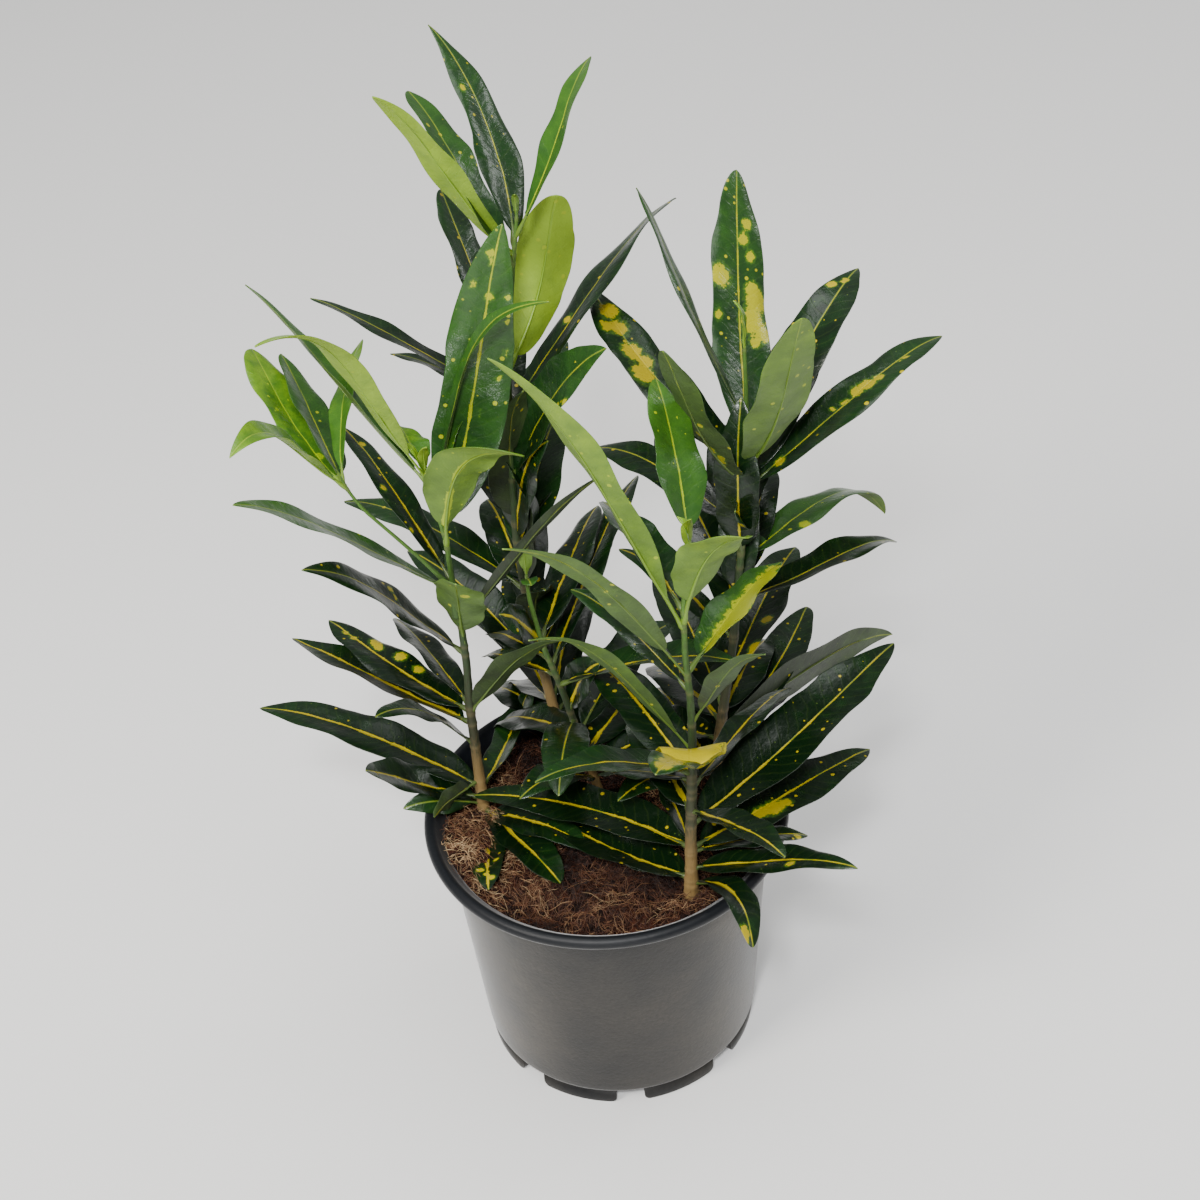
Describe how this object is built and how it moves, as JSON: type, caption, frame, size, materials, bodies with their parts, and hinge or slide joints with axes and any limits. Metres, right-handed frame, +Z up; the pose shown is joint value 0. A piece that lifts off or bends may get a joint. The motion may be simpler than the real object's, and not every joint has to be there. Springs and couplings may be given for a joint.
{
  "type": "potted croton",
  "caption": "Potted croton: slender woody stems with long glossy dark green leaves marked in yellow, rooted in coir soil in a round dark nursery pot.",
  "frame": {"origin": "on the surface that the pot stands on, under the middle of the whole plant's box", "axes": "+Z up along the stems, -Y towards the side that the picture shows, +X to its right"},
  "size_m": [0.2504, 0.1882, 0.3701],
  "materials": {
    "pot": "satin moulded plastic, dull grey from handling",
    "soil": "loose damp coir fibre and peat",
    "foliage": "glossy leathery leaves with yellow midribs and spots, on dull bark"
  },
  "bodies": {
    "root": {"pot": "pot", "soil": "soil", "stem_front_left": "foliage", "stem_front_right": "foliage", "stem_back_left": "foliage", "stem_back_right": "foliage", "stem_back_middle": "foliage"}
  },
  "joints": []
}
